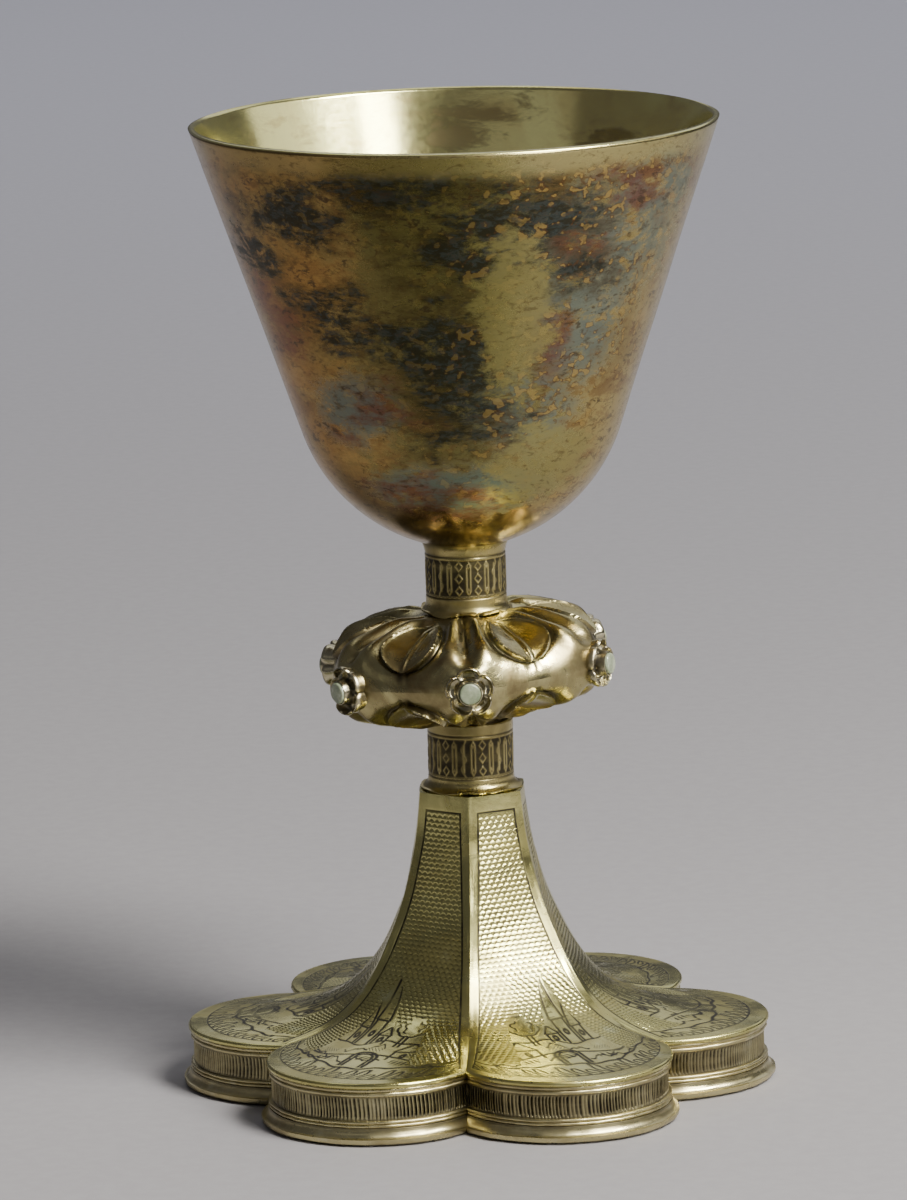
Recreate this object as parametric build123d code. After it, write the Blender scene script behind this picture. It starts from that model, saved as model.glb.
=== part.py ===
"""Communion chalice of silver gilt: bowl, collars, knop with six bosses and a six-lobed foot.

The pieces are threaded on a tie rod that hangs from the bowl and are clamped from below by a nut.
Units are millimetres. +Z is up, the origin is the middle of the foot on the table, and one of the
foot's six ridges points to -Y.
"""
from math import cos, pi, radians, sin, sqrt
import os

from build123d import *

# Driving dimensions --------------------------------------------------------------------------
TOTAL_HEIGHT = 190.0
SIDES = 6

# Bowl: a cone that runs into a round bottom with a small flat seat.
RIM_RADIUS = 50.1
BOWL_WALL = 1.1
BOWL_TAPER = 18.7  # degrees between the bowl's side and the upright
BOWL_ROUND_START = 130.0
BOWL_ROUND_RADIUS = 33.5
BOWL_SEAT_RADIUS = 6.0

# Stem: tie rod, core tube and the two collars.
ROD_RADIUS = 2.0
ROD_END_Z = 45.0
ROD_HEAD_RADIUS = 6.6
ROD_HEAD_THICKNESS = 1.0
TUBE_OUTER = 7.0
TUBE_INNER = 6.2
UPPER_COLLAR_Z = (93.9, 108.7)
UPPER_COLLAR_RADIUS = 7.9
UPPER_COLLAR_BORE = 7.1
UPPER_COLLAR_FLARE = 8.9
UPPER_FLANGE_RADIUS = 8.9
LOWER_COLLAR_Z = (58.7, 72.3)
LOWER_COLLAR_RADIUS = 8.4
LOWER_COLLAR_BORE = 7.6
LOWER_FLANGE_RADIUS = 9.9
FLANGE_EDGE = 0.5
FLANGE_CURVE = 1.7

# Knop: two domed shells that meet at a seam, with a boss and a stone on every sixth of the seam.
KNOP_Z = (72.3, 93.9)
KNOP_SEAM_Z = 83.0
KNOP_RADIUS = 27.2
KNOP_SEAT_RADIUS = 9.3
KNOP_CROWN = 15.0
KNOP_CROWN_RISE = 0.5
KNOP_WALL = 0.8
KNOP_TURN = 4.5  # degrees between a boss and the ridge below it
BOSS_RADIUS = 4.5
BOSS_TOP_RADIUS = 3.5
BOSS_ROOT = 24.0
BOSS_FACE = 29.4
STONE_RADIUS = 2.1
STONE_FACE = 30.6
STONE_SEAT = 28.6

# Foot: six lobes. A lobe is a circle LOBE_RADIUS whose centre is LOBE_CENTRE from the axis.
LOBE_CENTRE = 35.7
LOBE_RADIUS = 21.3
LIP_Z = 12.2
FOOT_SHEET = 1.0
# Height, radius at the ridges and radius at the middle of the panels, from the neck down.
FOOT_SECTIONS = (
    (58.7, 11.3, 10.15),
    (50.0, 12.4, 11.1),
    (41.0, 14.6, 12.9),
    (35.0, 16.8, 14.5),
    (30.0, 19.2, 16.5),
    (26.2, 21.2, 18.6),
    (23.0, 23.2, 21.0),
    (19.7, 25.7, 24.3),
    (17.0, 28.5, 28.5),
    (15.0, 31.8, 34.2),
    (13.5, 35.6, 42.0),
    (12.6, 39.6, 50.6),
)
NECK_PLATE_THICKNESS = 1.2
NECK_PLATE_TOP = 57.4
ROD_HOLE_CLEARANCE = 0.3

# Foot edge: a plain strip carries the mouldings. Each band is (bottom, top, growth of the outline).
WALL_BOTTOM = 0.3
EDGE_INNER = -2.4
EDGE_BACK = -1.7
UPPER_MOULDING = (9.5, 11.2, -0.3)
RIB_BAND = (4.75, 9.5, -0.8)
LOWER_MOULDING = (3.4, 4.75, -0.2)
MOULDING_GROOVE = 0.35
FLANGE_TOP_GROWTH = -0.1
FLANGE_GROWTH = 1.2
FLANGE_STRAIGHT = 1.3

# Fixing under the neck plate.
WASHER_RADIUS = 6.0
WASHER_THICKNESS = 0.8
NUT_ACROSS_FLATS = 8.0
NUT_HEIGHT = 3.0
THREAD_CLEARANCE = 0.05

UPWARDS = (Align.CENTER, Align.CENTER, Align.MIN)  # a solid that stands on its own base


def tube(outer, inner, bottom, top):
    """A round tube or ring between two heights."""
    body = Cylinder(outer, top - bottom, align=UPWARDS)
    body -= Cylinder(inner, top - bottom, align=UPWARDS)
    return Pos(0, 0, bottom) * body


def turned(edges):
    """Turn a closed outline, drawn in the XZ plane, about the upright axis."""
    return revolve(make_face(edges), Axis.Z)


def polar(radius, degrees, height):
    """A point at an angle from -Y, counted towards +X."""
    angle = radians(degrees)
    return (radius * sin(angle), -radius * cos(angle), height)


# Bowl ----------------------------------------------------------------------------------------
def bowl_solid(inset):
    """The filled bowl, drawn in by the wall's thickness for the hollow."""
    taper = radians(BOWL_TAPER)
    start = RIM_RADIUS - (TOTAL_HEIGHT - BOWL_ROUND_START) * sin(taper) / cos(taper)
    centre_x = start - BOWL_ROUND_RADIUS * cos(taper)
    centre_z = BOWL_ROUND_START + BOWL_ROUND_RADIUS * sin(taper)
    radius = BOWL_ROUND_RADIUS - inset
    rim = (RIM_RADIUS - inset / cos(taper), 0, TOTAL_HEIGHT)
    tangent = (centre_x + radius * cos(taper), 0, centre_z - radius * sin(taper))
    seat_drop = sqrt(radius**2 - (BOWL_SEAT_RADIUS - centre_x) ** 2)
    seat = (BOWL_SEAT_RADIUS, 0, centre_z - seat_drop)
    middle_angle = radians(50)
    middle = (centre_x + radius * cos(middle_angle), 0, centre_z - radius * sin(middle_angle))
    outline = [
        Line((0, 0, TOTAL_HEIGHT), rim),
        Line(rim, tangent),
        ThreePointArc(tangent, middle, seat),
        Line(seat, (0, 0, seat[2])),
        Line((0, 0, seat[2]), (0, 0, TOTAL_HEIGHT)),
    ]
    return turned(outline), seat[2]


def make_bowl():
    outside, _ = bowl_solid(0)
    inside, _ = bowl_solid(BOWL_WALL)
    return outside - inside


def rod_top():
    """Height of the bowl's flat seat, where the rod's head is soldered."""
    return bowl_solid(0)[1]


# Stem ----------------------------------------------------------------------------------------
def make_rod_head():
    return tube(ROD_HEAD_RADIUS, ROD_RADIUS, rod_top() - ROD_HEAD_THICKNESS, rod_top())


def make_tie_rod():
    length = rod_top() - ROD_END_Z
    rod = Pos(0, 0, ROD_END_Z) * Cylinder(ROD_RADIUS, length, align=UPWARDS)
    return chamfer(rod.edges().sort_by(Axis.Z)[0], 0.4)


def make_stem_tube():
    return tube(TUBE_OUTER, TUBE_INNER, NECK_PLATE_TOP, rod_top() - ROD_HEAD_THICKNESS)


def concave_step(radius, edge_radius, low, high):
    """The arc between a collar's straight side and its spreading edge."""
    return ThreePointArc(
        (radius, 0, low),
        (radius + 0.3 * (edge_radius - radius), 0, low + 0.7 * (high - low)),
        (edge_radius, 0, high),
    )


def make_upper_collar():
    low, high = UPPER_COLLAR_Z
    flange_top = low + FLANGE_EDGE
    side_low = flange_top + FLANGE_CURVE
    side_high = high - FLANGE_CURVE
    outline = [
        Line((UPPER_COLLAR_BORE, 0, low), (UPPER_FLANGE_RADIUS, 0, low)),
        Line((UPPER_FLANGE_RADIUS, 0, low), (UPPER_FLANGE_RADIUS, 0, flange_top)),
        concave_step(UPPER_COLLAR_RADIUS, UPPER_FLANGE_RADIUS, side_low, flange_top),
        Line((UPPER_COLLAR_RADIUS, 0, side_low), (UPPER_COLLAR_RADIUS, 0, side_high)),
        concave_step(UPPER_COLLAR_RADIUS, UPPER_COLLAR_FLARE, side_high, high),
        Line((UPPER_COLLAR_FLARE, 0, high), (UPPER_COLLAR_BORE, 0, high - 0.8)),
        Line((UPPER_COLLAR_BORE, 0, high - 0.8), (UPPER_COLLAR_BORE, 0, low)),
    ]
    return turned(outline) - bowl_solid(0)[0]


def make_lower_collar():
    low, high = LOWER_COLLAR_Z
    flange_top = low + FLANGE_EDGE
    side_low = flange_top + FLANGE_CURVE
    outline = [
        Line((LOWER_COLLAR_BORE, 0, low), (LOWER_FLANGE_RADIUS, 0, low)),
        Line((LOWER_FLANGE_RADIUS, 0, low), (LOWER_FLANGE_RADIUS, 0, flange_top)),
        concave_step(LOWER_COLLAR_RADIUS, LOWER_FLANGE_RADIUS, side_low, flange_top),
        Line((LOWER_COLLAR_RADIUS, 0, side_low), (LOWER_COLLAR_RADIUS, 0, high)),
        Line((LOWER_COLLAR_RADIUS, 0, high), (LOWER_COLLAR_BORE, 0, high)),
        Line((LOWER_COLLAR_BORE, 0, high), (LOWER_COLLAR_BORE, 0, low)),
    ]
    return turned(outline)


# Knop ----------------------------------------------------------------------------------------
def knop_dome(end_z, inset):
    """One filled half of the knop, from the seam to the flat seat of a collar."""
    sign = 1 if end_z > KNOP_SEAM_Z else -1
    crown_z = end_z + sign * (KNOP_CROWN_RISE - inset)
    outer = KNOP_RADIUS - inset
    half = radians(45)
    seam = (outer, 0, KNOP_SEAM_Z)
    shoulder = (
        KNOP_CROWN + (outer - KNOP_CROWN) * cos(half),
        0,
        KNOP_SEAM_Z + (crown_z - KNOP_SEAM_Z) * sin(half),
    )
    crown = (KNOP_CROWN, 0, crown_z)
    end = (KNOP_SEAT_RADIUS, 0, end_z - sign * inset)
    outline = [
        Line((0, 0, KNOP_SEAM_Z), seam),
        Spline([seam, shoulder, crown], tangents=[(0, 0, sign), (-1, 0, 0)]),
        Line(crown, end),
        Line(end, (0, 0, end[2])),
        Line((0, 0, end[2]), (0, 0, KNOP_SEAM_Z)),
    ]
    return turned(outline)


def knop_shell(end_z):
    shell = knop_dome(end_z, 0) - knop_dome(end_z, KNOP_WALL)
    return shell - Pos(0, 0, KNOP_SEAM_Z) * Cylinder(TUBE_OUTER, TOTAL_HEIGHT)


def knop_filled():
    return knop_dome(KNOP_Z[1], 0) + knop_dome(KNOP_Z[0], 0)


def boss_plane(index, radius):
    """A plane square to the radius through boss number index, at a distance from the axis."""
    angle = KNOP_TURN + index * 360 / SIDES
    return Plane(
        origin=polar(radius, angle, KNOP_SEAM_Z),
        x_dir=(cos(radians(angle)), sin(radians(angle)), 0),
        z_dir=polar(1, angle, 0),
    )


def make_rosette(index, filled):
    """A flower-shaped boss, seated on the knop and hollowed for its stone."""
    body = Cone(BOSS_RADIUS, BOSS_TOP_RADIUS, BOSS_FACE - BOSS_ROOT, align=UPWARDS)
    body -= Pos(0, 0, STONE_SEAT - BOSS_ROOT) * Cylinder(STONE_RADIUS, STONE_SEAT, align=UPWARDS)
    return boss_plane(index, BOSS_ROOT).location * body - filled


def make_stone(index):
    stone = Cylinder(STONE_RADIUS, STONE_FACE - STONE_SEAT, align=UPWARDS)
    stone = chamfer(stone.edges().sort_by(Axis.Z)[-1], 0.35)
    return boss_plane(index, STONE_SEAT).location * stone


# Foot ----------------------------------------------------------------------------------------
def six_arcs(ridge, middle, height):
    """A closed outline of six arcs that meet at the ridges."""
    step = 360 / SIDES
    arcs = []
    for side in range(SIDES):
        arcs.append(
            ThreePointArc(
                polar(ridge, side * step, height),
                polar(middle, (side + 0.5) * step, height),
                polar(ridge, (side + 1) * step, height),
            )
        )
    return make_face(arcs)


def lobed_outline(growth, height):
    """The foot's outline, grown outwards or, with a negative value, drawn inwards."""
    half = pi / SIDES
    radius = LOBE_RADIUS + growth
    cusp = LOBE_CENTRE * cos(half) + sqrt(radius**2 - (LOBE_CENTRE * sin(half)) ** 2)
    return six_arcs(cusp, LOBE_CENTRE + radius, height)


def band(bottom, top, growth, inner):
    """An upright band round the foot between two growths of its outline."""
    ring = extrude(lobed_outline(growth, bottom), top - bottom)
    return ring - extrude(lobed_outline(inner, bottom), top - bottom)


def lip_radii():
    half = pi / SIDES
    cusp = LOBE_CENTRE * cos(half) + sqrt(LOBE_RADIUS**2 - (LOBE_CENTRE * sin(half)) ** 2)
    return cusp, LOBE_CENTRE + LOBE_RADIUS


def foot_profile(inset):
    """The foot's sections, each moved square to the sheet by the inset."""
    rows = list(FOOT_SECTIONS) + [(LIP_Z, *lip_radii())]
    moved = []
    for number, (height, ridge, middle) in enumerate(rows):
        before = rows[max(number - 1, 0)]
        after = rows[min(number + 1, len(rows) - 1)]
        rise = before[0] - after[0]
        spread = after[1] - before[1]
        length = sqrt(rise**2 + spread**2)
        down = inset * spread / length
        inwards = inset * rise / length
        if number == len(rows) - 1:
            down = inset
            inwards = 0
        moved.append((height - down, ridge - inwards, middle - inwards))
    return moved


def foot_solid(inset):
    faces = [six_arcs(ridge, middle, height) for height, ridge, middle in foot_profile(inset)]
    return loft(faces)


def make_foot_shell():
    outside = foot_solid(0) + extrude(lobed_outline(0, LIP_Z - FOOT_SHEET), FOOT_SHEET)
    top, ridge, middle = FOOT_SECTIONS[0]
    bore = six_arcs(ridge - FOOT_SHEET, middle - FOOT_SHEET, NECK_PLATE_TOP)
    return outside - foot_solid(FOOT_SHEET) - extrude(bore, top - NECK_PLATE_TOP + 1)


def make_neck_plate():
    bottom = NECK_PLATE_TOP - NECK_PLATE_THICKNESS
    blank = Pos(0, 0, bottom) * Cylinder(FOOT_SECTIONS[0][1], NECK_PLATE_THICKNESS, align=UPWARDS)
    hole = Cylinder(ROD_RADIUS + ROD_HOLE_CLEARANCE, TOTAL_HEIGHT)
    return (blank & foot_solid(FOOT_SHEET)) - hole


def make_moulding(bottom, top, growth):
    """Two wires side by side, with a groove between them."""
    third = (top - bottom) / 3
    low_wire = band(bottom, bottom + third, growth, EDGE_BACK)
    groove = band(bottom + third, top - third, growth - MOULDING_GROOVE, EDGE_BACK)
    high_wire = band(top - third, top, growth, EDGE_BACK)
    return low_wire + groove + high_wire


def make_base_flange():
    top = LOWER_MOULDING[0]
    spread = lobed_outline(FLANGE_GROWTH, FLANGE_STRAIGHT)
    slope = loft([spread, lobed_outline(FLANGE_TOP_GROWTH, top)])
    ring = extrude(lobed_outline(FLANGE_GROWTH, 0), FLANGE_STRAIGHT) + slope
    return ring - extrude(lobed_outline(EDGE_BACK, 0), top)


# Fixing --------------------------------------------------------------------------------------
def make_washer():
    top = NECK_PLATE_TOP - NECK_PLATE_THICKNESS
    return tube(WASHER_RADIUS, ROD_RADIUS + ROD_HOLE_CLEARANCE, top - WASHER_THICKNESS, top)


def make_nut():
    top = NECK_PLATE_TOP - NECK_PLATE_THICKNESS - WASHER_THICKNESS
    corner = NUT_ACROSS_FLATS / 2 / cos(pi / SIDES)
    body = extrude(RegularPolygon(corner, SIDES), NUT_HEIGHT)
    body -= Cylinder(ROD_RADIUS + THREAD_CLEARANCE, 3 * NUT_HEIGHT)
    return Pos(0, 0, top - NUT_HEIGHT) * body


def all_pieces():
    pieces = {
        "bowl": make_bowl(),
        "rod_head": make_rod_head(),
        "tie_rod": make_tie_rod(),
        "stem_tube": make_stem_tube(),
        "upper_collar": make_upper_collar(),
        "lower_collar": make_lower_collar(),
        "knop_upper_shell": knop_shell(KNOP_Z[1]),
        "knop_lower_shell": knop_shell(KNOP_Z[0]),
        "foot_shell": make_foot_shell(),
        "neck_plate": make_neck_plate(),
        "foot_upper_moulding": make_moulding(*UPPER_MOULDING),
        "foot_rib_band": band(*RIB_BAND, EDGE_BACK),
        "foot_lower_moulding": make_moulding(*LOWER_MOULDING),
        "foot_wall": band(WALL_BOTTOM, LIP_Z - FOOT_SHEET, EDGE_BACK, EDGE_INNER),
        "foot_base_flange": make_base_flange(),
        "washer": make_washer(),
        "retaining_nut": make_nut(),
    }
    filled = knop_filled()
    for index in range(SIDES):
        pieces[f"knop_rosette_{index + 1}"] = make_rosette(index, filled)
        pieces[f"knop_stone_{index + 1}"] = make_stone(index)
    return pieces


os.makedirs("parts", exist_ok=True)
for name, piece in all_pieces().items():
    export_step(piece, f"parts/{name}.step")
    print(name, round(piece.volume, 1), "mm3")
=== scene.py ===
from math import cos, pi, radians, sin, tan

import bmesh
import bpy
import numpy as np
from mathutils import Matrix, Quaternion, Vector


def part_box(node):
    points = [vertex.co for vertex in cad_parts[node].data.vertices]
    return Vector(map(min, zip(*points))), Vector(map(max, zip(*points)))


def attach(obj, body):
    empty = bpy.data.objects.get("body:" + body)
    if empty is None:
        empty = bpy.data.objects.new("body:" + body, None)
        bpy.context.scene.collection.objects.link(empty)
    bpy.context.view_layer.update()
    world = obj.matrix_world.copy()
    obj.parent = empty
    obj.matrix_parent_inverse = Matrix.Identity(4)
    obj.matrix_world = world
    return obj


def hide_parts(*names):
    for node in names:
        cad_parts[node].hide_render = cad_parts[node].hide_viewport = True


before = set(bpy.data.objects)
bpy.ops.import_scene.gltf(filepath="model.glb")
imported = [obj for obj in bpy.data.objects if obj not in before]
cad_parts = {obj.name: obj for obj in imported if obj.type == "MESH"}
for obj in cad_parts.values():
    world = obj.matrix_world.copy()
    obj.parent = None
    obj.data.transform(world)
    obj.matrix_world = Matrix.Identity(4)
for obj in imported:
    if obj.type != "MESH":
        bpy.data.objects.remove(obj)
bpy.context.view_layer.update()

MM = 0.001

# ---------------------------------------------------------------------------------------------
# Bowl: one sheet of silver raised over stakes and gilt, 1.1 mm thick, with a plain filed rim.
# The hammer leaves a soft unevenness in the cone and the round bottom. It is soldered to the
# head of the tie rod.
RIM_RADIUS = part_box("bowl")[1].x
RIM_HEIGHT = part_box("bowl")[1].z
BOWL_WALL = 1.1 * MM
BOWL_TAPER = radians(18.7)
BOWL_ROUND = 33.5 * MM
BOWL_ROUND_START = 130 * MM
HAMMER_DEPTH = 0.07 * MM
HAMMER_MARK = 11 * MM
SLOW_BEND = 30 * MM
# Colours of the outside, from the gilding to the darkest tarnish and back to the rim.
# The two gilt colours and the two rim colours also hold painted shade on the left and painted light on the
# right.
SHADED_COPPER_GILT = (0.37, 0.205, 0.06, 1)
LIT_YELLOW_GILT = (0.46, 0.355, 0.13, 1)
CLOUDED_GILT = (0.27, 0.20, 0.075, 1)
BROWN_MOTTLE = (0.20, 0.105, 0.04, 1)
BRIGHT_COPPER = (0.56, 0.37, 0.13, 1)
OLIVE = (0.15, 0.148, 0.058, 1)
BLUE_GREY = (0.125, 0.185, 0.175, 1)
RED_BROWN = (0.17, 0.055, 0.035, 1)
BLACK_HALO = (0.085, 0.06, 0.025, 1)
BLACK = (0.035, 0.034, 0.022, 1)
BLUE_BLACK = (0.055, 0.078, 0.08, 1)
BLACK_STREAK = (0.055, 0.042, 0.03, 1)
SPOT_EDGE = (0.13, 0.06, 0.025, 1)
SPOT_GILT = (0.46, 0.31, 0.09, 1)
CLEAN_GILT = (0.33, 0.29, 0.105, 1)
SHADED_RIM_COPPER = (0.36, 0.26, 0.10, 1)
LIT_RIM_YELLOW = (0.50, 0.44, 0.19, 1)
FINE_BROWN = (0.09, 0.055, 0.025, 1)
# Colours of the inside.
PALE_GILT = (0.84, 0.80, 0.35, 1)
PALE_BROWN = (0.70, 0.62, 0.26, 1)
WIPED_BROWN = (0.5, 0.38, 0.16, 1)
STAIN_BROWN = (0.17, 0.11, 0.06, 1)
# Where the tarnish lies: centre and half axes of each patch in millimetres.
OLIVE_PATCHES = (
    ((4, -46, 172), (22, 22, 24)), ((0, -38, 147), (19, 22, 20)),
    ((-2, -30, 124), (14, 22, 10)), ((10, 40, 160), (30, 25, 30)))
BLUE_PATCHES = (
    ((29, -34, 171), (15, 22, 15)), ((24, -36, 153), (12, 22, 13)), ((15, -36, 138), (11, 18, 11)),
    ((-19, -32, 138), (10, 16, 7)), ((38, -24, 181), (9, 18, 8)), ((2, -30, 121), (18, 14, 6)),
    ((-30, 34, 165), (20, 24, 18)))
RED_PATCHES = (
    ((-14, -36, 131), (12, 16, 13)), ((34, -32, 181), (8, 16, 6)), ((26, -40, 172), (6, 14, 7)),
    ((-3, -30, 118), (14, 14, 6)), ((19, -38, 150), (5, 12, 10)), ((-36, -26, 150), (8, 14, 14)),
    ((30, 34, 150), (14, 22, 20)))
BLACK_PATCHES = (
    ((-29, -38, 178), (12, 18, 8)), ((-24, -38, 156), (11, 16, 6)), ((-40, -26, 168), (8, 16, 6)),
    ((11, -46, 174), (17, 18, 12)), ((1, -42, 151), (14, 18, 10)), ((-8, -48, 182), (22, 16, 6)),
    ((28, -40, 165), (7, 14, 5)), ((3, -40, 137), (9, 14, 7)), ((0, 45, 172), (24, 18, 12)))
CLEAN_PATCHES = (
    ((13, -40, 156), (7, 16, 17)), ((20, -30, 126), (12, 14, 9)), ((-10, 40, 140), (16, 14, 12)))
INSIDE_STAINS = (
    ((-2, 46, 181), (9, 14, 4)), ((4, 46, 185), (12, 14, 3)), ((30, 34, 178), (10, 14, 5)),
    ((-30, 28, 172), (10, 14, 4)))


def new_piece(name, bm, body, finish, node):
    """Turn a finished bmesh into a smooth-shaded piece that rides on a body of the frame and
    takes the place of one of its nodes."""
    mesh = bpy.data.meshes.new(name)
    bm.to_mesh(mesh)
    bm.free()
    mesh.shade_smooth()
    mesh.set_sharp_from_angle(angle=radians(60))
    mesh.materials.append(finish)
    piece = bpy.data.objects.new(name, mesh)
    bpy.context.scene.collection.objects.link(piece)
    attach(piece, body)
    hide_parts(node)
    return piece


def tidy(bm, gap=0.004 * MM):
    """Close seams and poles and turn every face outwards."""
    bmesh.ops.remove_doubles(bm, verts=bm.verts[:], dist=gap)
    bmesh.ops.recalc_face_normals(bm, faces=bm.faces[:])


def hand_waver(x, y, z, size):
    """A slow unevenness between -1 and 1, as a hammer leaves it, over a given size in metres."""
    a = np.sin((1.00 * x + 0.35 * z) / size * 2.1 + 1.3) * np.sin((0.83 * y - 0.21 * z) / size * 2.3)
    b = np.sin((0.62 * z + 0.41 * x - 0.27 * y) / size * 3.1 + 0.7)
    c = np.sin((0.47 * x - 0.72 * y + 0.38 * z) / size * 5.3 + 2.1)
    return (a + 0.6 * b + 0.4 * c) / 2


def put(tree, target, value):
    """Link a socket to a target, or set the target to a plain value."""
    if isinstance(value, bpy.types.NodeSocket):
        tree.links.new(value, target)
    else:
        target.default_value = value


def combine(tree, operation, a, b, clamp=False):
    """A sum, product or other step on two sockets or plain numbers."""
    made = tree.nodes.new("ShaderNodeMath")
    made.operation = operation
    made.use_clamp = clamp
    put(tree, made.inputs[0], a)
    put(tree, made.inputs[1], b)
    return made.outputs[0]


def times(tree, a, b):
    return combine(tree, "MULTIPLY", a, b)


def span(tree, value, low, high, to_low=0.0, to_high=1.0):
    """A smooth step from to_low, where the value is at low, to to_high, where it is at high."""
    made = tree.nodes.new("ShaderNodeMapRange")
    made.interpolation_type = "SMOOTHSTEP"
    put(tree, made.inputs["Value"], value)
    made.inputs["From Min"].default_value = low
    made.inputs["From Max"].default_value = high
    made.inputs["To Min"].default_value = to_low
    made.inputs["To Max"].default_value = to_high
    return made.outputs["Result"]


def blend_colour(tree, share, a, b):
    made = tree.nodes.new("ShaderNodeMix")
    made.data_type = "RGBA"
    put(tree, made.inputs[0], share)
    put(tree, made.inputs[6], a)
    put(tree, made.inputs[7], b)
    return made.outputs[2]


def tint(tree, under, over, mask, amount):
    """Lay a colour over another where a mask is high, at most by the given amount."""
    return blend_colour(tree, times(tree, mask, amount), under, over)


def noise(tree, vector, scale, detail=4.0, rough=0.55, stretch=(1, 1, 1), offset=(0, 0, 0), distortion=0.0):
    """Noise on a stretched copy of the coordinates; scale counts features per metre."""
    mapping = tree.nodes.new("ShaderNodeMapping")
    mapping.inputs["Location"].default_value = offset
    mapping.inputs["Scale"].default_value = stretch
    tree.links.new(vector, mapping.inputs["Vector"])
    made = tree.nodes.new("ShaderNodeTexNoise")
    made.inputs["Scale"].default_value = scale
    made.inputs["Detail"].default_value = detail
    made.inputs["Roughness"].default_value = rough
    made.inputs["Distortion"].default_value = distortion
    tree.links.new(mapping.outputs["Vector"], made.inputs["Vector"])
    return made.outputs["Fac"]


def vector_step(tree, operation, vector, values=(0, 0, 0)):
    """SUBTRACT or DIVIDE a vector by plain values, or take its LENGTH."""
    made = tree.nodes.new("ShaderNodeVectorMath")
    made.operation = operation
    tree.links.new(vector, made.inputs[0])
    made.inputs[1].default_value = values
    return made.outputs["Value" if operation == "LENGTH" else "Vector"]


def nearness(tree, vector, waver, patches):
    """Distance to the nearest of several patches, 1 on its edge, which waver makes ragged.
    A patch is an ellipsoid, given as its centre and half axes in millimetres."""
    nearest = None
    for centre, half_axes in patches:
        shifted = vector_step(tree, "SUBTRACT", vector, [c * MM for c in centre])
        scaled = vector_step(tree, "DIVIDE", shifted, [a * MM for a in half_axes])
        reach = vector_step(tree, "LENGTH", scaled)
        nearest = reach if nearest is None else combine(tree, "MINIMUM", nearest, reach)
    return combine(tree, "ADD", nearest, waver)


def start_material(name, metallic=0.0):
    """A new material, its tree, its shader and its Object coordinates."""
    material = bpy.data.materials.new(name)
    material.use_nodes = True
    tree = material.node_tree
    shader = tree.nodes["Principled BSDF"]
    shader.inputs["Metallic"].default_value = metallic
    return material, tree, shader, tree.nodes.new("ShaderNodeTexCoord").outputs["Object"]


def add_bump(tree, shader, height, depth):
    """Raise the surface by a height socket, over a depth in metres."""
    bump = tree.nodes.new("ShaderNodeBump")
    bump.inputs["Strength"].default_value = 1.0
    bump.inputs["Distance"].default_value = depth
    tree.links.new(height, bump.inputs["Height"])
    tree.links.new(bump.outputs["Normal"], shader.inputs["Normal"])


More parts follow.
